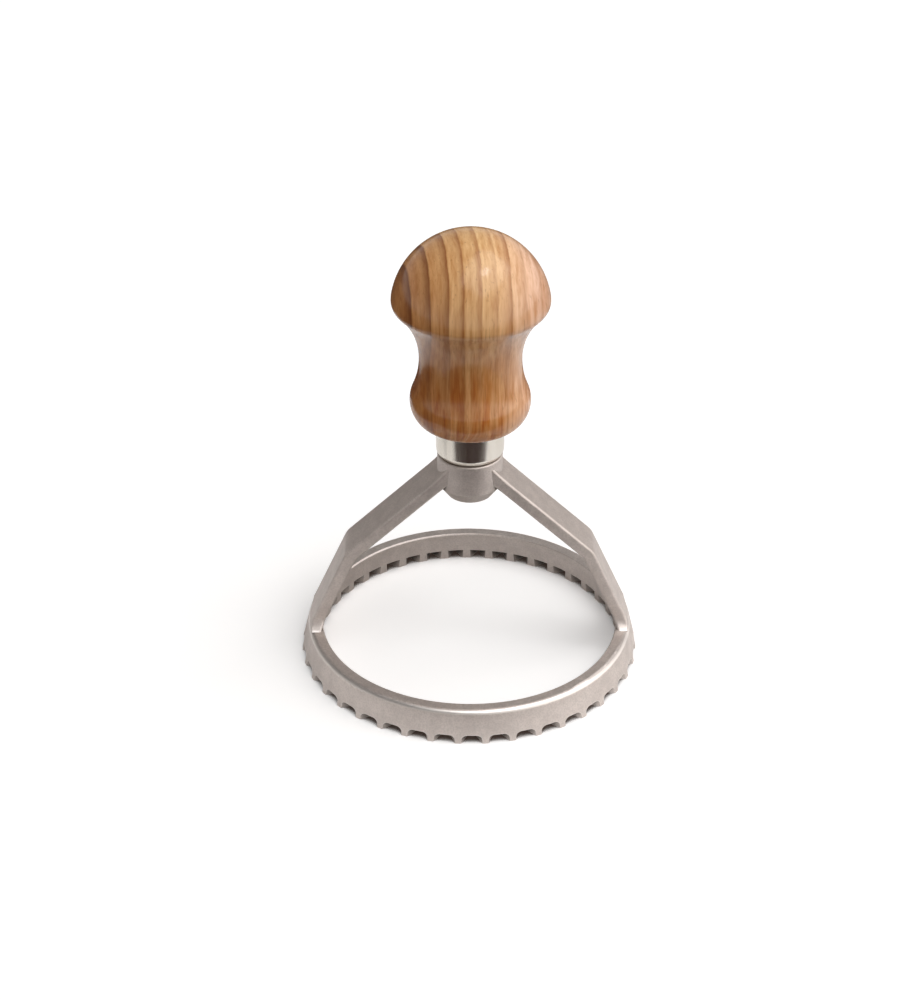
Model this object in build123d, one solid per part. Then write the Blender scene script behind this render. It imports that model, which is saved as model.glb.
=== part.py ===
"""Round ravioli stamp: a cast aluminium cutter head under a turned wooden handle.

Millimetres, +Z up. The origin is the centre of the cutting rim, on the surface the stamp stands on.
The two arms lie along X. Nothing moves: the stud clamps the handle, the ferrule and the head together.
"""
import os
from math import pi, radians, sqrt, tan

from build123d import *

# Cutting ring: a low cone, wider at the rim, with drafted walls
ring_rim_radius = 39.0
ring_rim_wall = 4.1
ring_height = 7.5
ring_outer_draft = 13.5
ring_inner_draft = 6.5
ring_top_edge_round = 1.3
ring_bore_edge_chamfer = 0.3

# Zigzag blade: flutes cut from outside and from inside, half a pitch apart
flute_count = 40
flute_run_out = 1.0
blade_thickness = 0.8
outer_crest_width = 1.2
outer_flute_height = 1.9
outer_flute_round = 1.5
inner_crest_width = 2.0
inner_flute_height = 2.4

# Hub: a short cylinder with a conical underside and a blind hole
hub_top = 51.5
hub_radius = 7.3
hub_floor = 1.9
hub_cone_height = 3.1
hub_end_radius = 5.0
hub_edge_chamfer = 0.2

# Arms: two straps with rounded edges, bent once between the hub and the ring
arm_width = 10.4
arm_thickness = 2.8
arm_edge_round = 0.6
arm_root_drop = 6.1
arm_knee_height = 26.9
arm_leg_spread = 8.7
arm_bend_radius = 3.0
arm_root_start = 1.5
arm_root_flare_length = 7.6
arm_root_flare = 0.6
arm_foot_flare_length = 3.0
arm_foot_flare = 2.0
arm_foot_depth = 1.5
arm_foot_inset = 0.2

# Ferrule: a drawn cup with a hole for the stud
ferrule_radius = 7.6
ferrule_wall = 0.6
ferrule_height = 8.0
ferrule_inner_chamfer = 0.8
ferrule_outer_round = 1.6

# Handle: levels are measured up from its shoulder on the ferrule
handle_height = 45.0
knob_radius = 17.1
knob_level = 29.8
neck_radius = 11.2
neck_level = 15.9
bulge_radius = 13.3
bulge_level = 5.6
shoulder_round = 4.25

# Roundness of the turned curves: a convex arc's radius as a share of the knob's or the bulge's
crown_side_share = 0.39
knob_underside_share = 0.124
bulge_share = 0.49

# Stud
stud_radius = 3.0
stud_length_in_hub = 8.0
stud_length_in_handle = 26.0
stud_tip_length = 4.0
stud_tip_radius = 1.0
stud_end_chamfer = 0.6

# Clearances
stud_clearance = 0.05
hole_end_clearance = 0.5
tenon_clearance = 0.05
tenon_end_clearance = 0.3

# Sizes that follow from the ones above
ring_top_radius = ring_rim_radius - ring_height * tan(radians(ring_outer_draft))
rim_bore_radius = ring_rim_radius - ring_rim_wall
top_bore_radius = rim_bore_radius - ring_height * tan(radians(ring_inner_draft))
ring_top_middle = (ring_top_radius + top_bore_radius) / 2
stud_bottom = hub_top - stud_length_in_hub
stud_top = hub_top + stud_length_in_handle
bore_radius = stud_radius + stud_clearance
hub_hole_bottom = stud_bottom - hole_end_clearance
hub_bottom = hub_hole_bottom - hub_floor
handle_shoulder = hub_top + ferrule_height


def revolved(outline):
    """Turn a closed outline, drawn as radius and height, about the Z axis."""
    return revolve(make_face(Plane.XZ * outline), Axis.Z)


def upright_cylinder(radius, bottom, top):
    """A cylinder about the Z axis between two heights."""
    return Pos(0, 0, (bottom + top) / 2) * Cylinder(radius, top - bottom)


def ring_blank():
    """The conical ring before its flutes are cut: a rounded outer top edge and a broken bore edge."""
    ring = revolved(
        Polyline(
            (rim_bore_radius, 0),
            (ring_rim_radius, 0),
            (ring_top_radius, ring_height),
            (top_bore_radius, ring_height),
            close=True,
        )
    )
    bore_edge = ring.edges().group_by(Axis.Z)[-1].sort_by(SortBy.RADIUS)[0]
    ring = chamfer(bore_edge, ring_bore_edge_chamfer)
    outer_edge = ring.edges().group_by(Axis.Z)[-1].sort_by(SortBy.RADIUS)[-1]
    return fillet(outer_edge, ring_top_edge_round)


def flute_half_width(wall_radius, crest_width):
    """Half the opening of a flute in a wall, between two crests."""
    return wall_radius * pi / flute_count - crest_width / 2


def flank_slope():
    """How much a flank closes in per millimetre of depth, to leave the blade thickness at mid wall."""
    outer = flute_half_width(ring_rim_radius, outer_crest_width)
    inner = flute_half_width(rim_bore_radius, inner_crest_width)
    room = flute_half_width((ring_rim_radius + rim_bore_radius) / 2, 2 * blade_thickness)
    return (outer + inner - room) / ring_rim_wall


def flute_wedge(half_width, mouth_radius, end_radius, height):
    """The space between a flute's two flanks, from beyond its mouth to its end inside the wall."""
    outward = 1 if mouth_radius > end_radius else -1
    wide = half_width + flank_slope() * flute_run_out
    narrow = half_width - flank_slope() * abs(mouth_radius - end_radius)
    mouth = mouth_radius + outward * flute_run_out
    plan = Polyline((mouth, wide), (end_radius, narrow), (end_radius, -narrow), (mouth, -wide), close=True)
    return Pos(0, 0, -flute_run_out) * extrude(make_face(plan), flute_run_out + height)


def outer_flute():
    """One flute on the X axis with round upper corners, cut inwards from the outer wall."""
    half_width = flute_half_width(ring_rim_radius, outer_crest_width)
    foot = -2 * flute_run_out
    outline = FilletPolyline(
        (-half_width, foot),
        (-half_width, outer_flute_height),
        (half_width, outer_flute_height),
        (half_width, foot),
        radius=outer_flute_round,
    )
    outline += Line((half_width, foot), (-half_width, foot))
    arch = extrude(Plane.YZ.offset(rim_bore_radius) * make_face(outline), ring_rim_wall + flute_run_out)
    end_radius = rim_bore_radius + blade_thickness
    return arch & flute_wedge(half_width, ring_rim_radius, end_radius, outer_flute_height + flute_run_out)


def inner_flute():
    """One square-topped flute on the X axis, cut outwards from the bore."""
    half_width = flute_half_width(rim_bore_radius, inner_crest_width)
    return flute_wedge(half_width, rim_bore_radius, ring_rim_radius - blade_thickness, inner_flute_height)


def flutes():
    """All the flutes: an outer flute lies on each end of the X and Y axes."""
    outer = outer_flute()
    inner = inner_flute()
    cuts = [place * outer for place in PolarLocations(0, flute_count)]
    return cuts + [place * inner for place in PolarLocations(0, flute_count, 180 / flute_count)]


def strap_section(centre, along, width, thickness):
    """A strap's cross-section at a point of its centre line, facing along the line."""
    return Plane(centre, x_dir=(0, 1, 0), z_dir=along) * RectangleRounded(width, thickness, arm_edge_round)


def outside_ring():
    """The space outside the ring's wall at the height of the arms' feet."""
    top = ring_height + arm_foot_flare
    wall_base = ring_rim_radius - arm_foot_inset
    wall_top = wall_base - top * tan(radians(ring_outer_draft))
    far = 2 * ring_rim_radius
    return revolved(Polyline((wall_base, 0), (far, 0), (far, top), (wall_top, top), close=True))


def arm():
    """The strap on the +X side: it widens into the hub above and onto the ring below."""
    root = Vector(hub_radius, 0, hub_top - arm_root_drop)
    foot = Vector(ring_top_middle, 0, ring_height)
    knee = Vector(foot.X - arm_leg_spread, 0, arm_knee_height)
    run = (knee - root).normalized()
    leg = (foot - knee).normalized()
    down = Vector(0, 0, -1)
    start = root + run * arm_root_start
    end = foot - leg * arm_foot_flare_length

    first = strap_section(start, run, arm_width, arm_thickness)
    strap = sweep(first, FilletPolyline(start, knee, end, radius=arm_bend_radius))

    root_sections = []
    for share in (0, 0.5, 1):
        centre = start - run * arm_root_flare_length * share
        growth = 2 * arm_root_flare * share**2
        root_sections.append(strap_section(centre, run, arm_width + growth, arm_thickness + growth))

    level_thickness = arm_thickness / leg.dot(down)
    foot_sections = [strap_section(end, leg, arm_width, arm_thickness)]
    for share in (0.5, 1):
        centre = end + (foot - end) * share
        growth = 2 * arm_foot_flare * share**2
        foot_sections.append(strap_section(centre, down, arm_width + growth, level_thickness))
    sole = extrude(foot_sections[-1], arm_foot_depth, dir=leg)

    return strap + loft(root_sections) + loft(foot_sections) + sole - outside_ring()


def hub():
    """The hub with its conical underside, before the stud's hole is cut."""
    body = revolved(
        Polyline(
            (0, hub_bottom),
            (hub_end_radius, hub_bottom),
            (hub_radius, hub_bottom + hub_cone_height),
            (hub_radius, hub_top),
            (0, hub_top),
            close=True,
        )
    )
    levels = body.edges().filter_by(GeomType.CIRCLE).group_by(Axis.Z)
    return chamfer(levels[0] + levels[-1], hub_edge_chamfer)


def cutter_head():
    """Ring, arms and hub as one casting, with the zigzag blade and the blind hole for the stud."""
    right_arm = arm()
    left_arm = mirror(right_arm, Plane.YZ)
    casting = ring_blank() + right_arm + left_arm + hub()
    return casting - flutes() - upright_cylinder(bore_radius, hub_hole_bottom, hub_top)


def ferrule():
    """The drawn cup that closes the handle's tenon and stands on the hub."""
    floor = hub_top + ferrule_wall
    cup = upright_cylinder(ferrule_radius, hub_top, handle_shoulder)
    cup = fillet(cup.edges().group_by(Axis.Z)[0], ferrule_outer_round)
    cavity = upright_cylinder(ferrule_radius - ferrule_wall, floor, handle_shoulder)
    cavity = chamfer(cavity.edges().group_by(Axis.Z)[0], ferrule_inner_chamfer)
    return cup - cavity - upright_cylinder(bore_radius, hub_top, floor)


def crown_joint(knob, top):
    """Where the crown's domed top runs into its side arc: on the line through the centres of both."""
    rise = top - knob.Y
    side_radius = crown_side_share * knob_radius
    dome_radius = (knob.X**2 + rise**2 - 2 * knob.X * side_radius) / (2 * (rise - side_radius))
    dome_centre = Vector(0, top - dome_radius)
    side_centre = Vector(knob.X - side_radius, knob.Y)
    return side_centre + (side_centre - dome_centre).normalized() * side_radius


def hand_over(convex_end, hollow_end, convex_radius):
    """Where a convex arc hands over to a hollow one, when both arcs have an upright end.

    The radii of the two add up to the square of the chord between the ends, over twice the chord's width.
    """
    chord = hollow_end - convex_end
    both_radii = chord.length**2 / (2 * abs(chord.X))
    return convex_end + chord * (convex_radius / both_radii)


def handle():
    """The turned handle: crown, knob, neck and bulge, with a tenon below and a bore for the stud."""
    top = handle_shoulder + handle_height
    knob = Vector(knob_radius, handle_shoulder + knob_level)
    neck = Vector(neck_radius, handle_shoulder + neck_level)
    bulge = Vector(bulge_radius, handle_shoulder + bulge_level)
    over_knob = crown_joint(knob, top)
    under_knob = hand_over(knob, neck, knob_underside_share * knob_radius)
    bulge_arc = bulge_share * bulge_radius
    over_bulge = hand_over(bulge, neck, bulge_arc)
    bulge_centre = Vector(bulge_radius - bulge_arc, bulge.Y)
    inset = sqrt((bulge_arc - shoulder_round) ** 2 - (bulge_level - shoulder_round) ** 2)
    shoulder_centre = Vector(bulge_centre.X + inset, handle_shoulder + shoulder_round)
    under_bulge = bulge_centre + (shoulder_centre - bulge_centre).normalized() * bulge_arc
    shoulder = Vector(shoulder_centre.X, handle_shoulder)

    tenon_radius = ferrule_radius - ferrule_wall - tenon_clearance
    tenon_bottom = hub_top + ferrule_wall + tenon_end_clearance

    outline = TangentArc((0, top), over_knob, tangent=(1, 0))
    outline += TangentArc(knob, over_knob, tangent=(0, 1))
    outline += TangentArc(knob, under_knob, tangent=(0, -1))
    outline += TangentArc(neck, under_knob, tangent=(0, 1))
    outline += TangentArc(neck, over_bulge, tangent=(0, -1))
    outline += ThreePointArc(over_bulge, bulge, under_bulge)
    outline += TangentArc(shoulder, under_bulge, tangent=(1, 0))
    outline += Polyline(
        shoulder,
        (tenon_radius, handle_shoulder),
        (tenon_radius, tenon_bottom + ferrule_inner_chamfer),
        (tenon_radius - ferrule_inner_chamfer, tenon_bottom),
        (0, tenon_bottom),
        (0, top),
    )
    return revolved(outline) - upright_cylinder(bore_radius, tenon_bottom, stud_top + hole_end_clearance)


def handle_stud():
    """The stud: a plain shank with a chamfered lower end and a tapered upper end."""
    return revolved(
        Polyline(
            (0, stud_bottom),
            (stud_radius - stud_end_chamfer, stud_bottom),
            (stud_radius, stud_bottom + stud_end_chamfer),
            (stud_radius, stud_top - stud_tip_length),
            (stud_tip_radius, stud_top),
            (0, stud_top),
            close=True,
        )
    )


pieces = {
    "cutter_head": cutter_head(),
    "ferrule": ferrule(),
    "handle": handle(),
    "handle_stud": handle_stud(),
}
os.makedirs("parts", exist_ok=True)
for node, shape in pieces.items():
    export_step(shape, f"parts/{node}.step")
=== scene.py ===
"""Round ravioli stamp: its finishes, the studio floor and light, and the camera.

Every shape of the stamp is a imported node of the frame, so this script dresses the nodes and sets the stage.
Lengths are in metres, unless a name says otherwise.
"""
import logging
import math
from dataclasses import dataclass
from enum import Enum
from typing import Union

import bmesh
import bpy
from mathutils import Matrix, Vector

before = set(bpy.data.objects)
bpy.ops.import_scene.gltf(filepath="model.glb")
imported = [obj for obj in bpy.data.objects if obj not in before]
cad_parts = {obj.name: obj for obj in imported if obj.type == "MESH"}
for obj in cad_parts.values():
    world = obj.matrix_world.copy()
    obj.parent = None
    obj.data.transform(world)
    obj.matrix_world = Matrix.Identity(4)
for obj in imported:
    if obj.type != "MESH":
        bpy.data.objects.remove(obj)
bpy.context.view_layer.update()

log = logging.getLogger("ravioli_stamp")

Color = tuple[float, float, float]
Point = tuple[float, float, float]
Size = tuple[float, float]
Socket = bpy.types.NodeSocket
SocketValue = Union[float, Color, Socket]

MM = 0.001
UNIT_HALF = 0.5
NOISE_AVERAGE = 0.5

STAGE_SIZE: Size = (12.0, 12.0)
PAPER_WHITE: Color = (0.90, 0.90, 0.90)
# A painted shadow: the white card's dimmer colour under the stamp, where the handle's shadow falls.
PAINTED_SHADOW_PAPER: Color = (0.44, 0.425, 0.41)
DARK_ROOM: Color = (0.050, 0.036, 0.034)


class Part(Enum):
    """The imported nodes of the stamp."""

    CUTTER_HEAD = "cutter_head"
    FERRULE = "ferrule"
    HANDLE = "handle"
    HANDLE_STUD = "handle_stud"


class Blend(Enum):
    """How one colour goes over another."""

    PAINT = "MIX"
    STAIN = "MULTIPLY"


@dataclass(frozen=True)
class Fade:
    """A smooth change from one level to another while a value runs from low to high."""

    low: float
    high: float
    at_low: float = 0.0
    at_high: float = 1.0


@dataclass(frozen=True)
class Pattern:
    """A noise turned into a mask: its cells per metre along x, y and z, its finer layers and its levels."""

    per_metre: Point
    detail: float
    levels: Fade


@dataclass(frozen=True)
class Sway:
    """A slow wandering of lines: its cells per metre along x, y and z, and how wide it swings."""

    per_metre: Point
    width: float


class NodeSheet:
    """A shader node tree with short calls that place its nodes and join them.

    The Mix node has sockets for every kind of value, so its colour sockets are found by number.
    """

    MIX_FACTOR = 0
    MIX_UNDER = 6
    MIX_OVER = 7
    MIX_RESULT = 2

    def __init__(self, tree: bpy.types.NodeTree) -> None:
        """Takes over the tree and empties it."""
        self.tree = tree
        tree.nodes.clear()

    def feed(self, socket: Socket, value: SocketValue) -> None:
        """Links a socket to another one, or sets its own value.

        Args:
            socket: The input socket.
            value: An output socket to link from, or a plain value. A colour gets its alpha.
        """
        if isinstance(value, Socket):
            self.tree.links.new(value, socket)
        elif socket.type == "RGBA":
            socket.default_value = (*value, 1.0)
        else:
            socket.default_value = value

    def add(
        self, kind: str, inputs: dict[Union[str, int], SocketValue], **settings: object
    ) -> bpy.types.Node:
        """Places one node.

        Args:
            kind: The node's type name.
            inputs: Values or links for its input sockets.
            **settings: Properties of the node itself, set before its inputs.

        Returns:
            The new node.
        """
        node = self.tree.nodes.new(kind)
        for name, value in settings.items():
            setattr(node, name, value)
        for key, value in inputs.items():
            self.feed(node.inputs[key], value)
        return node

    def sum(self, operation: str, *values: SocketValue) -> Socket:
        """Places a Math node with its inputs in order, and gives its result."""
        node = self.add("ShaderNodeMath", dict(enumerate(values)), operation=operation)
        return node.outputs[0]

    def measure(self, operation: str, *vectors: SocketValue) -> Socket:
        """Places a Vector Math node whose result is a number, such as a length."""
        node = self.add("ShaderNodeVectorMath", dict(enumerate(vectors)), operation=operation)
        return node.outputs["Value"]

    def shift(self, operation: str, *vectors: SocketValue) -> Socket:
        """Places a Vector Math node whose result is a vector, such as a difference."""
        node = self.add("ShaderNodeVectorMath", dict(enumerate(vectors)), operation=operation)
        return node.outputs["Vector"]

    def remap(self, value: SocketValue, fade: Fade) -> Socket:
        """Turns a value into a level.

        Args:
            value: The value that runs from low to high.
            fade: The range that it runs through, and the levels at both ends.

        Returns:
            The level's socket.
        """
        ends = {
            "Value": value,
            "From Min": fade.low,
            "From Max": fade.high,
            "To Min": fade.at_low,
            "To Max": fade.at_high,
        }
        node = self.add("ShaderNodeMapRange", ends, interpolation_type="SMOOTHSTEP")
        return node.outputs["Result"]

    def mix(
        self, factor: SocketValue, under: SocketValue, over: SocketValue, blend: Blend = Blend.PAINT
    ) -> Socket:
        """Mixes two colours.

        Args:
            factor: How much of the upper colour shows.
            under: The colour underneath.
            over: The colour on top.
            blend: How the upper colour goes over the lower one.

        Returns:
            The mixed colour's socket.
        """
        node = self.add("ShaderNodeMix", {}, data_type="RGBA", blend_type=blend.value)
        self.feed(node.inputs[self.MIX_FACTOR], factor)
        self.feed(node.inputs[self.MIX_UNDER], under)
        self.feed(node.inputs[self.MIX_OVER], over)
        return node.outputs[self.MIX_RESULT]

    def noise(self, place: SocketValue, per_metre: Point, detail: float) -> Socket:
        """Places a noise that may be stretched along the axes.

        Args:
            place: Coordinates in metres.
            per_metre: Noise cells per metre along x, y and z.
            detail: Number of finer layers.

        Returns:
            The noise's socket.
        """
        scaled = self.add("ShaderNodeMapping", {"Vector": place, "Scale": per_metre}).outputs[0]
        texture = self.add("ShaderNodeTexNoise", {"Vector": scaled, "Scale": 1.0, "Detail": detail})
        return texture.outputs[0]

    def mask(self, place: SocketValue, pattern: Pattern) -> Socket:
        """Draws a noise pattern with its own levels."""
        return self.remap(self.noise(place, pattern.per_metre, pattern.detail), pattern.levels)

    def height(self, vector: SocketValue) -> Socket:
        """Takes the upright part of a vector."""
        return self.add("ShaderNodeSeparateXYZ", {"Vector": vector}).outputs["Z"]

    def place(self) -> Socket:
        """Gives the object coordinates, in metres."""
        return self.add("ShaderNodeTexCoord", {}).outputs["Object"]

    def normal(self) -> Socket:
        """Gives the direction that the surface faces."""
        return self.add("ShaderNodeNewGeometry", {}).outputs["Normal"]

    def show(self, shader: bpy.types.Node) -> None:
        """Hands the finished shader to the material's output."""
        self.add("ShaderNodeOutputMaterial", {"Surface": shader.outputs[0]})


def new_material(name: str) -> tuple[bpy.types.Material, NodeSheet]:
    """Makes an empty node material.

    Args:
        name: The material's name.

    Returns:
        The material and its node sheet.
    """
    material = bpy.data.materials.new(name)
    material.use_nodes = True
    return material, NodeSheet(material.node_tree)


@dataclass(frozen=True)
class MetalSkin:
    """The uneven skin that the stamp's metals share: fine grain over soft clouds."""

    name: str = "metal_skin"
    grain_detail: float = 3.0
    grain_roughness: float = 0.6
    cloud_detail: float = 4.0
    cloud_roughness: float = 0.55
    cloud_height: float = 0.45

    def group(self) -> bpy.types.ShaderNodeTree:
        """Builds the skin once, for all the metals.

        Returns:
            A node group with the inputs Vector, Grain and Cloud, and the outputs Height, Tone and Patch.
        """
        tree = bpy.data.node_groups.new(self.name, "ShaderNodeTree")
        tree.interface.new_socket("Vector", in_out="INPUT", socket_type="NodeSocketVector")
        for name in ("Grain", "Cloud"):
            tree.interface.new_socket(name, in_out="INPUT", socket_type="NodeSocketFloat")
        for name in ("Height", "Tone", "Patch"):
            tree.interface.new_socket(name, in_out="OUTPUT", socket_type="NodeSocketFloat")
        sheet = NodeSheet(tree)
        source = sheet.add("NodeGroupInput", {})
        grain = self.layer(sheet, source, "Grain", self.grain_detail, self.grain_roughness)
        cloud = self.layer(sheet, source, "Cloud", self.cloud_detail, self.cloud_roughness)
        height = sheet.sum("ADD", grain, sheet.sum("MULTIPLY", cloud, self.cloud_height))
        sheet.add("NodeGroupOutput", {"Height": height, "Tone": grain, "Patch": cloud})
        return tree

    def layer(
        self, sheet: NodeSheet, source: bpy.types.Node, scale: str, detail: float, roughness: float
    ) -> Socket:
        """Adds one noise layer to the skin.

        Args:
            sheet: The group's node sheet.
            source: The group's input node.
            scale: The name of the input that gives the layer's cells per metre.
            detail: Number of finer layers.
            roughness: How strong the finer layers are.

        Returns:
            The layer's socket.
        """
        settings = {
            "Vector": source.outputs["Vector"],
            "Scale": source.outputs[scale],
            "Detail": detail,
            "Roughness": roughness,
        }
        return sheet.add("ShaderNodeTexNoise", settings).outputs[0]


@dataclass(frozen=True)
class MetalFinish:
    """What every metal finish of the stamp has: its name, its two tones and its share of the skin."""

    name: str
    bright: Color
    dull: Color
    grain_per_metre: float
    cloud_per_metre: float
    roughness: Fade
    bump_strength: float
    bump_depth: float

    def skin_node(self, sheet: NodeSheet, skin: bpy.types.ShaderNodeTree, place: Socket) -> bpy.types.Node:
        """Places the metals' shared skin with this metal's own scales."""
        scales = {"Vector": place, "Grain": self.grain_per_metre, "Cloud": self.cloud_per_metre}
        return sheet.add("ShaderNodeGroup", scales, node_tree=skin)

    def bump(self, sheet: NodeSheet, height: Socket) -> bpy.types.Node:
        """Places the bump that the skin's height makes."""
        settings = {"Strength": self.bump_strength, "Distance": self.bump_depth, "Height": height}
        return sheet.add("ShaderNodeBump", settings)

    def surface(self, sheet: NodeSheet, color: Socket, roughness: Socket, bump: bpy.types.Node) -> None:
        """Ends the sheet with a bare metal shader."""
        sockets = {"Base Color": color, "Metallic": 1.0, "Roughness": roughness, "Normal": bump.outputs[0]}
        sheet.show(sheet.add("ShaderNodeBsdfPrincipled", sockets))


@dataclass(frozen=True)
class SatinCasting(MetalFinish):
    """Cast aluminium after tumbling: satin and warm grey, with edges and shoulder lighter from wear and from
    a painted highlight, and painted shade in its recesses.
    """

    name: str = "satin_cast_aluminium"
    bright: Color = (0.74, 0.675, 0.635)
    dull: Color = (0.66, 0.60, 0.565)
    grain_per_metre: float = 2600.0
    cloud_per_metre: float = 330.0
    roughness: Fade = Fade(0.3, 0.7, 0.43, 0.55)
    bump_strength: float = 0.5
    bump_depth: float = 0.035 * MM
    pitted: Color = (0.50, 0.45, 0.42)
    # Lighter colour on convex edges and the shoulder: partly tumbling wear, partly a painted highlight.
    worn_highlight: Color = (0.90, 0.855, 0.82)
    # Painted shade: near-black colour that fills the narrow, occluded recesses.
    painted_recess_shade: Color = (0.075, 0.060, 0.052)
    cloudy: Fade = Fade(0.32, 0.68)
    speckled: Fade = Fade(0.36, 0.60, 0.45, 0.0)
    recess_shade_fade: Fade = Fade(0.42, 0.82, 0.97, 0.0)
    recess_shade_reach: float = 4.0 * MM
    recess_shade_samples: int = 8
    edge_round: float = 0.15 * MM
    edge_samples: int = 6
    rub_reach: float = 0.45 * MM
    rub: Fade = Fade(0.86, 0.99, 0.6, 0.0)
    shoulder_start: Fade = Fade(5.4 * MM, 6.2 * MM, 0.0, 0.8)
    shoulder_end: Fade = Fade(7.6 * MM, 7.9 * MM, 1.0, 0.0)
    shoulder_slope: Fade = Fade(0.30, 0.60)
    ring_top_slope: Fade = Fade(0.83, 0.92, 1.0, 0.0)
    outer_side: Fade = Fade(6.0 * MM, 12.0 * MM)
    shoulder_polish: float = -0.18

    def worn_highlight_edges(self, sheet: NodeSheet) -> Socket:
        """Finds the convex edges, lighter from tumbling wear and from a painted highlight, as a mask that is
        0 on the faces.
        """
        rounded = sheet.add("ShaderNodeBevel", {"Radius": self.rub_reach}, samples=self.edge_samples)
        return sheet.remap(sheet.measure("DOT_PRODUCT", rounded.outputs[0], sheet.normal()), self.rub)

    def polished_highlight_shoulder(self, sheet: NodeSheet, place: Socket) -> Socket:
        """Finds the rounded shoulder of the ring, which tumbling polishes most and where a painted highlight
        lightens the colour.

        The shoulder lies between two heights, slopes outwards, and faces away from the ring's middle.

        Args:
            sheet: The material's node sheet.
            place: Object coordinates.

        Returns:
            A mask, 0 away from the shoulder.
        """
        height = sheet.height(place)
        facing = sheet.normal()
        tilt = sheet.height(facing)
        above = sheet.remap(height, self.shoulder_start)
        below = sheet.remap(height, self.shoulder_end)
        sloped = sheet.remap(tilt, self.shoulder_slope)
        not_level = sheet.remap(tilt, self.ring_top_slope)
        outer = sheet.remap(sheet.measure("DOT_PRODUCT", facing, place), self.outer_side)
        band = sheet.sum("MULTIPLY", above, below)
        curve = sheet.sum("MULTIPLY", sloped, not_level)
        return sheet.sum("MULTIPLY", sheet.sum("MULTIPLY", band, curve), outer)

    def painted_recess_shade_mask(self, sheet: NodeSheet) -> Socket:
        """Finds the narrow, occluded places where painted shade darkens the colour, as a mask that is 0 on
        open faces.
        """
        closed = sheet.add(
            "ShaderNodeAmbientOcclusion",
            {"Distance": self.recess_shade_reach},
            samples=self.recess_shade_samples,
            only_local=True,
        )
        return sheet.remap(closed.outputs["AO"], self.recess_shade_fade)

    def material(self, skin: bpy.types.ShaderNodeTree) -> bpy.types.Material:
        """Builds the finish.

        Args:
            skin: The metals' shared skin group.

        Returns:
            The node material.
        """
        material, sheet = new_material(self.name)
        place = sheet.place()
        cast = self.skin_node(sheet, skin, place)
        clouds = sheet.mix(sheet.remap(cast.outputs["Patch"], self.cloudy), self.dull, self.bright)
        metal = sheet.mix(sheet.remap(cast.outputs["Tone"], self.speckled), clouds, self.pitted)
        shoulder = self.polished_highlight_shoulder(sheet, place)
        # Edges and shoulder get the lighter colour: wear plus a painted highlight.
        worn_highlight_mask = sheet.sum("MAXIMUM", self.worn_highlight_edges(sheet), shoulder)
        worn_highlight = sheet.mix(worn_highlight_mask, metal, self.worn_highlight)
        # Painted shade darkens the recesses.
        color = sheet.mix(self.painted_recess_shade_mask(sheet), worn_highlight, self.painted_recess_shade)
        satin = sheet.remap(cast.outputs["Tone"], self.roughness)
        roughness = sheet.sum("MULTIPLY_ADD", shoulder, self.shoulder_polish, satin)
        rounded = sheet.add("ShaderNodeBevel", {"Radius": self.edge_round}, samples=self.edge_samples)
        bump = self.bump(sheet, cast.outputs["Height"])
        sheet.feed(bump.inputs["Normal"], rounded.outputs[0])
        self.surface(sheet, color, roughness, bump)
        return material


@dataclass(frozen=True)
class DrawnFerrule(MetalFinish):
    """Thin drawn cup, polished, with faint marks along the draw."""

    name: str = "polished_ferrule"
    bright: Color = (0.90, 0.86, 0.79)
    dull: Color = (0.80, 0.75, 0.67)
    grain_per_metre: float = 900.0
    cloud_per_metre: float = 160.0
    roughness: Fade = Fade(0.3, 0.7, 0.13, 0.22)
    bump_strength: float = 0.08
    bump_depth: float = 0.02 * MM
    cloudy: Fade = Fade(0.3, 0.7)
    draw_stretch: Point = (1.0, 1.0, 0.12)

    def material(self, skin: bpy.types.ShaderNodeTree) -> bpy.types.Material:
        """Builds the finish.

        Args:
            skin: The metals' shared skin group.

        Returns:
            The node material.
        """
        material, sheet = new_material(self.name)
        drawn = sheet.add("ShaderNodeMapping", {"Vector": sheet.place(), "Scale": self.draw_stretch})
        cup = self.skin_node(sheet, skin, drawn.outputs[0])
        color = sheet.mix(sheet.remap(cup.outputs["Patch"], self.cloudy), self.dull, self.bright)
        roughness = sheet.remap(cup.outputs["Tone"], self.roughness)
        self.surface(sheet, color, roughness, self.bump(sheet, cup.outputs["Height"]))
        return material


@dataclass(frozen=True)
class PlainSteel(MetalFinish):
    """Plain rolled steel of the stud inside the handle."""

    name: str = "plain_stud_steel"
    bright: Color = (0.60, 0.60, 0.62)
    dull: Color = (0.44, 0.44, 0.46)
    grain_per_metre: float = 3200.0
    cloud_per_metre: float = 300.0
    roughness: Fade = Fade(0.3, 0.7, 0.30, 0.48)
    bump_strength: float = 0.3
    bump_depth: float = 0.03 * MM

    def material(self, skin: bpy.types.ShaderNodeTree) -> bpy.types.Material:
        """Builds the finish.

        Args:
            skin: The metals' shared skin group.

        Returns:
            The node material.
        """
        material, sheet = new_material(self.name)
        rolled = self.skin_node(sheet, skin, sheet.place())
        color = sheet.mix(rolled.outputs["Patch"], self.dull, self.bright)
        roughness = sheet.remap(rolled.outputs["Tone"], self.roughness)
        self.surface(sheet, color, roughness, self.bump(sheet, rolled.outputs["Height"]))
        return material


@dataclass(frozen=True)
class GrowthRing:
    """One growth ring of the wood: where its dark edge lies, and how dark that edge is."""

    edge_mm: float
    depth: float


@dataclass(frozen=True)
class RingStep:
    """One step of the darkening across a growth ring: its share of the ring's width, and its darkness."""

    share: float
    dark: float


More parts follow.
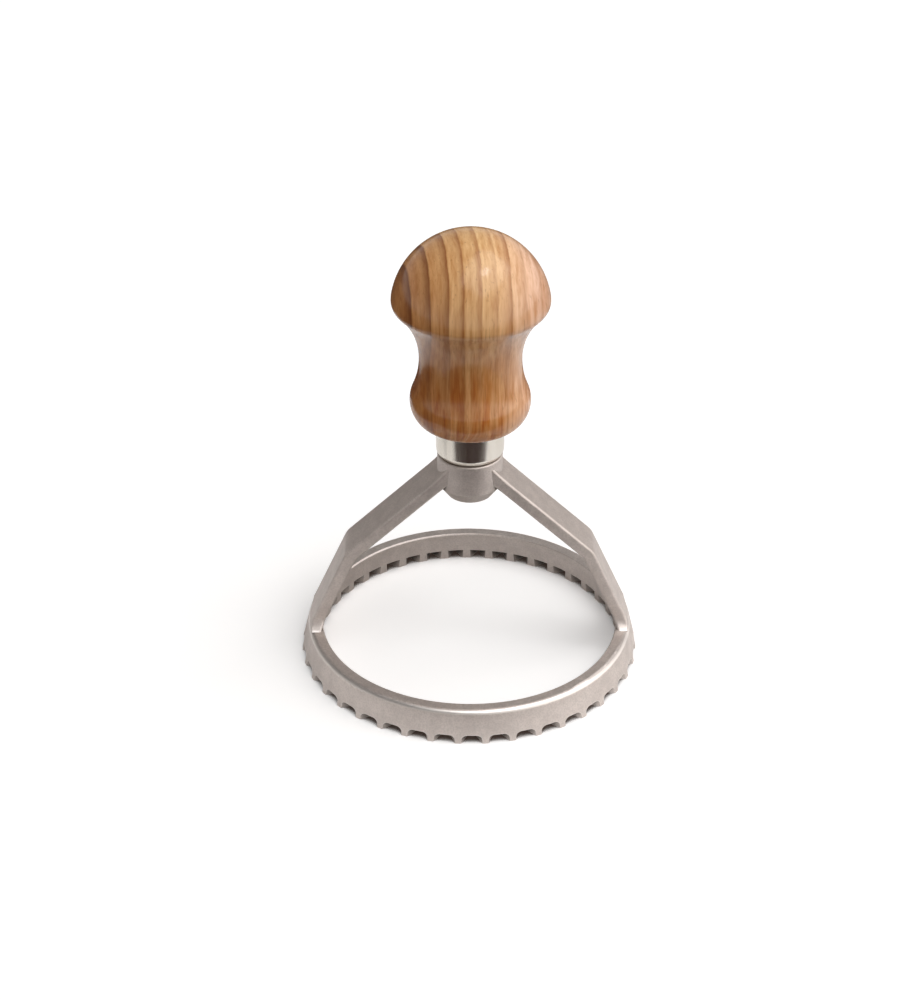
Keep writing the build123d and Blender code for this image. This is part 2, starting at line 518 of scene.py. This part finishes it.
@dataclass(frozen=True)
class LacqueredBeech:
    """Beech with growth rings round a far pith, fine fibre, pores and amber tone, under clear lacquer."""

    name: str = "lacquered_beech"
    pith: Point = (-0.090, -0.015, 0.0)
    in_plan: Point = (1.0, 1.0, 0.0)
    rings: tuple[GrowthRing, ...] = (
        GrowthRing(73.5, 0.90),
        GrowthRing(77.6, 1.00),
        GrowthRing(81.5, 1.00),
        GrowthRing(85.3, 1.00),
        GrowthRing(88.4, 0.90),
        GrowthRing(92.0, 0.80),
        GrowthRing(95.2, 0.45),
        GrowthRing(98.3, 0.90),
        GrowthRing(101.5, 0.40),
        GrowthRing(105.0, 0.40),
        GrowthRing(109.5, 0.30),
    )
    ring_steps: tuple[RingStep, ...] = (RingStep(0.05, 0.0), RingStep(0.60, 0.26), RingStep(0.97, 1.0))
    trunk_sway: Sway = Sway((60.0, 60.0, 18.0), 1.6 * MM)
    ring_ripple: Sway = Sway((420.0, 420.0, 60.0), 0.35 * MM)
    sway_detail: float = 2.0
    figure_centre: Point = (0.0005, -0.013, 0.057)
    figure_size: Point = (0.0050, 0.0080, 0.0075)
    figure_lift: Fade = Fade(0.0, 1.0, 3.2 * MM, 0.0)
    # The tone runs across the handle, away from a far pith on the left: the darker heart on the left and the
    # paler sap on the right are wood tone, and also painted shade on the left and painted light on the right.
    shaded_heart: Color = (0.78, 0.375, 0.135)
    honey: Color = (0.90, 0.59, 0.29)
    lit_sap: Color = (0.89, 0.575, 0.41)
    shaded_heart_late: Color = (0.20, 0.056, 0.008)
    lit_sap_late: Color = (0.44, 0.19, 0.065)
    shaded_heart_to_honey: Fade = Fade(0.074, 0.092)
    honey_to_lit_sap: Fade = Fade(0.092, 0.106)
    amber: Color = (0.55, 0.195, 0.034)
    amber_by_height: Fade = Fade(0.062, 0.102, 0.92, 0.05)
    amber_streaks: Pattern = Pattern((520.0, 240.0, 85.0), 3.0, Fade(0.36, 0.66, 0.62, 1.25))
    rings_by_height: Fade = Fade(0.074, 0.100, 0.50, 1.0)
    fibre_by_height: Fade = Fade(0.074, 0.100, 1.30, 0.85)
    fibre_color: Color = (0.68, 0.52, 0.36)
    bands: Pattern = Pattern((900.0, 80.0, 32.0), 3.0, Fade(0.36, 0.66, 0.0, 0.50))
    streaks: Pattern = Pattern((1300.0, 260.0, 170.0), 2.0, Fade(0.42, 0.68, 0.0, 0.42))
    fibres: Pattern = Pattern((3200.0, 700.0, 60.0), 2.0, Fade(0.38, 0.74, 0.0, 0.28))
    pore_color: Color = (0.27, 0.10, 0.028)
    pores: Pattern = Pattern((2600.0, 1400.0, 140.0), 1.0, Fade(0.62, 0.78, 0.0, 0.35))
    bump_strength: float = 0.15
    bump_depth: float = 0.03 * MM
    roughness: float = 0.5
    specular: float = 0.15
    lacquer: float = 0.82
    lacquer_roughness: float = 0.18
    lacquer_ior: float = 1.5

    def swayed(self, sheet: NodeSheet, place: Socket, reach: Socket, sway: Sway) -> Socket:
        """Lets a distance wander slowly from place to place.

        Args:
            sheet: The material's node sheet.
            place: Object coordinates.
            reach: The distance.
            sway: How it wanders.

        Returns:
            The new distance's socket.
        """
        wander = sheet.noise(place, sway.per_metre, self.sway_detail)
        swing = sheet.sum("SUBTRACT", wander, NOISE_AVERAGE)
        return sheet.sum("MULTIPLY_ADD", swing, sway.width, reach)

    def from_pith(self, sheet: NodeSheet, place: Socket) -> Socket:
        """Measures the distance from the pith, with the sway of a grown trunk and a swirl low at the front.

        Args:
            sheet: The material's node sheet.
            place: Object coordinates.

        Returns:
            The distance's socket.
        """
        to_pith = tuple(-part for part in self.pith)
        move = {"Vector": place, "Location": to_pith, "Scale": self.in_plan}
        centred = sheet.add("ShaderNodeMapping", move).outputs[0]
        reach = sheet.measure("LENGTH", centred)
        reach = self.swayed(sheet, place, reach, self.trunk_sway)
        reach = self.swayed(sheet, place, reach, self.ring_ripple)
        offset = sheet.shift("SUBTRACT", place, self.figure_centre)
        apart = sheet.measure("LENGTH", sheet.shift("DIVIDE", offset, self.figure_size))
        return sheet.sum("ADD", reach, sheet.remap(apart, self.figure_lift))

    def late_wood(self, sheet: NodeSheet, reach: Socket) -> Socket:
        """Works out how far into the dark end of its growth ring a point lies.

        Args:
            sheet: The material's node sheet.
            reach: The distance from the pith.

        Returns:
            A value from 0, pale wood, to 1, the dark edge.
        """
        first = self.rings[0].edge_mm * MM
        last = self.rings[-1].edge_mm * MM
        span = {"Value": reach, "From Min": first, "From Max": last}
        along = sheet.add("ShaderNodeMapRange", span).outputs[0]
        ramp = sheet.add("ShaderNodeValToRGB", {"Fac": along})
        self.write_rings(ramp.color_ramp)
        return ramp.outputs[0]

    def write_rings(self, ramp: bpy.types.ColorRamp) -> None:
        """Writes each growth ring as a slow darkening that ends in a sharp edge.

        Args:
            ramp: The colour ramp, which runs from the first ring's edge to the last one's.
        """
        first = self.rings[0].edge_mm
        span = self.rings[-1].edge_mm - first
        ramp.elements.remove(ramp.elements[0])
        ramp.elements[0].position = 1.0
        ramp.elements[0].color = (0.0, 0.0, 0.0, 1.0)
        for inner, outer in zip(self.rings, self.rings[1:]):
            width = outer.edge_mm - inner.edge_mm
            for step in self.ring_steps:
                stop = ramp.elements.new((inner.edge_mm - first + step.share * width) / span)
                shade = step.dark * outer.depth
                stop.color = (shade, shade, shade, 1.0)

    def fibre_shade(self, sheet: NodeSheet, grown: Socket) -> Socket:
        """Layers the grain's bands, streaks and single fibres, from 0 to about 1, the darkest."""
        broad = sheet.sum("ADD", sheet.mask(grown, self.bands), sheet.mask(grown, self.streaks))
        return sheet.sum("ADD", broad, sheet.mask(grown, self.fibres))

    def material(self) -> bpy.types.Material:
        """Builds the finish.

        Returns:
            The node material.
        """
        material, sheet = new_material(self.name)
        place = sheet.place()
        reach = self.from_pith(sheet, place)
        axes = sheet.add("ShaderNodeSeparateXYZ", {"Vector": place}).outputs
        along_grain = {"X": reach, "Y": axes["Y"], "Z": axes["Z"]}
        grown = sheet.add("ShaderNodeCombineXYZ", along_grain).outputs[0]

        # Darker heart on the left, paler sap on the right: wood tone that is also painted shade on the left
        # and painted light on the right.
        past_shaded_heart = sheet.remap(reach, self.shaded_heart_to_honey)
        lit_sapwood = sheet.remap(reach, self.honey_to_lit_sap)
        early = sheet.mix(lit_sapwood, sheet.mix(past_shaded_heart, self.shaded_heart, self.honey), self.lit_sap)
        late = sheet.mix(past_shaded_heart, self.shaded_heart_late, self.lit_sap_late)

        low_tone = sheet.remap(axes["Z"], self.amber_by_height)
        streaked = sheet.sum("MULTIPLY", low_tone, sheet.mask(grown, self.amber_streaks))
        amber = sheet.sum("MULTIPLY", streaked, sheet.sum("SUBTRACT", 1.0, lit_sapwood))
        toned = sheet.mix(amber, early, self.amber)

        ring_strength = sheet.remap(axes["Z"], self.rings_by_height)
        dark_end = sheet.sum("MULTIPLY", self.late_wood(sheet, reach), ring_strength)
        ringed = sheet.mix(dark_end, toned, late)

        fibre_strength = sheet.remap(axes["Z"], self.fibre_by_height)
        fibre = sheet.sum("MULTIPLY", self.fibre_shade(sheet, grown), fibre_strength)
        stained = sheet.mix(1.0, ringed, self.fibre_color, Blend.STAIN)
        grained = sheet.mix(fibre, ringed, stained)
        color = sheet.mix(sheet.mask(grown, self.pores), grained, self.pore_color)

        ridges = {"Strength": self.bump_strength, "Distance": self.bump_depth, "Height": fibre}
        sockets = {
            "Base Color": color,
            "Roughness": self.roughness,
            "Normal": sheet.add("ShaderNodeBump", ridges).outputs[0],
            "Specular IOR Level": self.specular,
            "Coat Weight": self.lacquer,
            "Coat Roughness": self.lacquer_roughness,
            "Coat IOR": self.lacquer_ior,
        }
        sheet.show(sheet.add("ShaderNodeBsdfPrincipled", sockets))
        return material


def wear(part: Part, finish: bpy.types.Material) -> bpy.types.Object:
    """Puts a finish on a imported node.

    Args:
        part: The node.
        finish: Its material.

    Returns:
        The node's object.
    """
    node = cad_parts[part.value]
    for slot in node.material_slots:
        slot.material = finish
    return node


@dataclass
class CutterHead:
    """The casting that cuts: ring, arms and hub in one."""

    casting: SatinCasting = SatinCasting()

    def dress(self, skin: bpy.types.ShaderNodeTree) -> list[bpy.types.Object]:
        """Finishes the casting with the metals' shared skin, and gives it back."""
        return [wear(Part.CUTTER_HEAD, self.casting.material(skin))]


@dataclass
class Grip:
    """What the hand holds: the turned handle in its ferrule, on the stud that joins them to the casting."""

    drawn_cup: DrawnFerrule = DrawnFerrule()
    turned_wood: LacqueredBeech = LacqueredBeech()
    rolled_steel: PlainSteel = PlainSteel()

    def dress(self, skin: bpy.types.ShaderNodeTree) -> list[bpy.types.Object]:
        """Finishes the ferrule, the handle and the stud.

        Args:
            skin: The metals' shared skin group.

        Returns:
            The three objects.
        """
        return [
            wear(Part.FERRULE, self.drawn_cup.material(skin)),
            wear(Part.HANDLE, self.turned_wood.material()),
            wear(Part.HANDLE_STUD, self.rolled_steel.material(skin)),
        ]


def flat_sheet(name: str, size: Size, middle: Point) -> bpy.types.Object:
    """Lays a flat rectangle down as a stage object.

    Args:
        name: The object's name.
        size: Its size along x and y.
        middle: Its middle.

    Returns:
        The new object.
    """
    shape = bmesh.new()
    bmesh.ops.create_grid(shape, x_segments=1, y_segments=1, size=UNIT_HALF)
    bmesh.ops.scale(shape, vec=Vector((*size, 1.0)), verts=shape.verts)
    bmesh.ops.translate(shape, vec=Vector(middle), verts=shape.verts)
    mesh = bpy.data.meshes.new(name)
    shape.to_mesh(mesh)
    shape.free()
    piece = bpy.data.objects.new(name, mesh)
    bpy.context.scene.collection.objects.link(piece)
    return piece


@dataclass(frozen=True)
class WhiteTable:
    """The table that only the camera sees: white, with the stamp's shadow on it and painted shade close under
    it, and open from below.
    """

    size: Size = STAGE_SIZE
    middle: Point = (0.0, 0.0, 0.0)
    paper: Color = PAPER_WHITE
    # Painted shade: dark colour laid into the paper where the stamp closes it in.
    painted_contact_shade: Color = (0.085, 0.060, 0.048)
    contact_shade_reach: float = 7.0 * MM
    contact_shade_samples: int = 8
    open_air: Fade = Fade(0.20, 0.50)
    glow: Fade = Fade(0.35, 1.60, 0.32, 0.90)

    def build(self) -> bpy.types.Object:
        """Lays the table.

        Returns:
            The table's object.
        """
        table = flat_sheet("table", self.size, self.middle)
        table.data.materials.append(self.material())
        table.visible_diffuse = False
        table.visible_glossy = False
        table.visible_shadow = False
        return table

    def material(self) -> bpy.types.Material:
        """Builds white paper with painted shade close under the stamp, which glows more with distance.

        Returns:
            The node material.
        """
        material, sheet = new_material("white_table")
        under = sheet.add(
            "ShaderNodeAmbientOcclusion",
            {"Distance": self.contact_shade_reach},
            samples=self.contact_shade_samples,
        )
        # Painted contact shade under and round the stamp, from occlusion.
        color = sheet.mix(sheet.remap(under.outputs["AO"], self.open_air), self.painted_contact_shade, self.paper)
        paper = sheet.add("ShaderNodeBsdfDiffuse", {"Color": color})
        level = sheet.remap(sheet.measure("LENGTH", sheet.place()), self.glow)
        glow = sheet.add("ShaderNodeEmission", {"Color": color, "Strength": level})
        lit = sheet.add("ShaderNodeAddShader", {0: paper.outputs[0], 1: glow.outputs[0]})
        below = sheet.add("ShaderNodeNewGeometry", {}).outputs["Backfacing"]
        clear = sheet.add("ShaderNodeBsdfTransparent", {})
        sheet.show(sheet.add("ShaderNodeMixShader", {0: below, 1: lit.outputs[0], 2: clear.outputs[0]}))
        return material


@dataclass(frozen=True)
class BounceSheet:
    """A sheet that the stamp reflects and is lit by, but that the camera doesn't see; its colour may hold a
    painted shadow under the stamp.
    """

    name: str
    size: Size
    middle: Point
    under_stamp: Color
    round_about: Color
    # Middle of the painted shadow under the stamp; further out the colour turns to round_about.
    painted_shadow_centre: Point = (-0.010, 0.006, 0.0)
    outward: Fade = Fade(0.010, 0.042)

    def build(self) -> bpy.types.Object:
        """Lays the sheet.

        Returns:
            The sheet's object.
        """
        piece = flat_sheet(self.name, self.size, self.middle)
        material, sheet = new_material(self.name)
        # Painted shadow: dimmer colour near the middle, under the stamp.
        apart = sheet.measure("DISTANCE", sheet.place(), self.painted_shadow_centre)
        color = sheet.mix(sheet.remap(apart, self.outward), self.under_stamp, self.round_about)
        sheet.show(sheet.add("ShaderNodeBsdfDiffuse", {"Color": color}))
        piece.data.materials.append(material)
        piece.visible_camera = False
        return piece


@dataclass(frozen=True)
class SoftLamp:
    """A lamp with a flat lit face, above the stamp and a little to the right."""

    name: str
    distance: float
    size: Size
    watts: float
    direction: Point = (0.29, -0.15, 0.945)

    def build(self) -> bpy.types.Object:
        """Hangs the lamp, facing the stamp.

        Returns:
            The lamp's object.
        """
        light = bpy.data.lights.new(self.name, "AREA")
        light.shape = "RECTANGLE"
        light.size, light.size_y = self.size
        light.energy = self.watts
        lamp = bpy.data.objects.new(self.name, light)
        way = Vector(self.direction).normalized()
        lamp.location = way * self.distance
        lamp.rotation_mode = "QUATERNION"
        lamp.rotation_quaternion = way.to_track_quat("Z", "Y")
        lamp.visible_camera = False
        bpy.context.scene.collection.objects.link(lamp)
        return lamp


@dataclass(frozen=True)
class Lobe:
    """A level that is highest in one direction and falls off softly round it."""

    axis: Point
    tightness: float
    strength: float

    def level(self, sheet: NodeSheet, way: Socket) -> Socket:
        """Works out the level in a direction.

        Args:
            sheet: The world's node sheet.
            way: The direction that is looked at.

        Returns:
            The level's socket.
        """
        axis = tuple(Vector(self.axis).normalized())
        facing = sheet.sum("MAXIMUM", sheet.measure("DOT_PRODUCT", way, axis), 0.0)
        return sheet.sum("MULTIPLY", sheet.sum("POWER", facing, self.tightness), self.strength)


@dataclass(frozen=True)
class StudioSky:
    """Soft light all round: a window on the right, a dim ceiling and pale walls, dimmer at the back."""

    color: Color = (1.0, 0.955, 0.925)
    base: float = 0.12
    wall_strength: float = 1.05
    wall_tightness: float = 3.2
    back_shade: Lobe = Lobe((-0.25, 0.97, 0.05), 2.0, 0.45)
    window: Lobe = Lobe((0.90, -0.22, 0.30), 3.0, 1.25)
    ceiling: Lobe = Lobe((0.20, -0.05, 0.98), 2.0, 0.12)

    def build(self) -> None:
        """Makes the sky the scene's world."""
        world = bpy.data.worlds.new("studio_sky")
        world.use_nodes = True
        bpy.context.scene.world = world
        sheet = NodeSheet(world.node_tree)
        way = sheet.add("ShaderNodeTexCoord", {}).outputs["Generated"]
        lights = sheet.sum("ADD", self.window.level(sheet, way), self.ceiling.level(sheet, way))
        low = sheet.sum("SUBTRACT", 1.0, sheet.sum("ABSOLUTE", sheet.height(way)))
        band = sheet.sum("MULTIPLY", sheet.sum("POWER", low, self.wall_tightness), self.wall_strength)
        walls = sheet.sum("MULTIPLY", band, sheet.sum("SUBTRACT", 1.0, self.back_shade.level(sheet, way)))
        level = sheet.sum("ADD", lights, sheet.sum("ADD", walls, self.base))
        light = sheet.add("ShaderNodeBackground", {"Color": self.color, "Strength": level})
        sheet.add("ShaderNodeOutputWorld", {"Surface": light.outputs[0]})


@dataclass
class Studio:
    """The stage: a white table, the white card and dark surround that the metal mirrors, lamps and sky."""

    key: SoftLamp = SoftLamp("key_lamp", distance=2.0, size=(2.60, 1.60), watts=22.5)
    spark: SoftLamp = SoftLamp("spark_lamp", distance=1.5, size=(0.32, 0.16), watts=1.5)
    table: WhiteTable = WhiteTable()
    card: BounceSheet = BounceSheet(
        "white_card",
        size=(0.460, 0.191),
        middle=(0.120, 0.0345, -0.3 * MM),
        under_stamp=PAINTED_SHADOW_PAPER,
        round_about=PAPER_WHITE,
    )
    surround: BounceSheet = BounceSheet(
        "dark_surround",
        size=STAGE_SIZE,
        middle=(0.0, 0.0, -0.6 * MM),
        under_stamp=DARK_ROOM,
        round_about=DARK_ROOM,
    )
    sky: StudioSky = StudioSky()

    def build(self) -> list[bpy.types.Object]:
        """Sets the stage up.

        Returns:
            The lamps and the sheets.
        """
        pieces = [part.build() for part in (self.key, self.spark, self.table, self.card, self.surround)]
        self.sky.build()
        return pieces


@dataclass
class PhotoCamera:
    """The camera, where the photograph was taken from."""

    turn: float = math.radians(-0.5)
    elevation: float = math.radians(32.14)
    distance: float = 0.4882
    aim_across: float = -0.00444
    aim_up: float = 0.03878
    lens_mm: float = 78.02
    sensor_mm: float = 36.0

    def build(self) -> bpy.types.Object:
        """Makes the camera and hands it to the scene.

        Returns:
            The camera's object.
        """
        across = Vector((math.cos(self.turn), math.sin(self.turn), 0.0))
        towards = Vector((math.sin(self.turn), -math.cos(self.turn), 0.0))
        up = Vector((0.0, 0.0, 1.0))
        aim = across * self.aim_across + up * self.aim_up
        back = towards * math.cos(self.elevation) + up * math.sin(self.elevation)
        data = bpy.data.cameras.new("photo_camera")
        data.lens = self.lens_mm
        data.sensor_width = self.sensor_mm
        camera = bpy.data.objects.new("photo_camera", data)
        camera.location = aim + back * self.distance
        camera.rotation_mode = "QUATERNION"
        camera.rotation_quaternion = back.to_track_quat("Z", "Y")
        bpy.context.scene.collection.objects.link(camera)
        bpy.context.scene.camera = camera
        return camera


def main() -> None:
    """Dresses the stamp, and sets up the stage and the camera."""
    logging.basicConfig(level=logging.INFO, format="%(name)s: %(message)s")
    skin = MetalSkin().group()
    for piece in CutterHead().dress(skin) + Grip().dress(skin):
        log.info("%s wears %s", piece.name, piece.material_slots[0].material.name)
    for piece in Studio().build():
        log.info("stage: %s", piece.name)
    log.info("camera: %s", PhotoCamera().build().name)
    bpy.context.scene.view_settings.view_transform = "Standard"


if __name__ == "__main__":
    main()
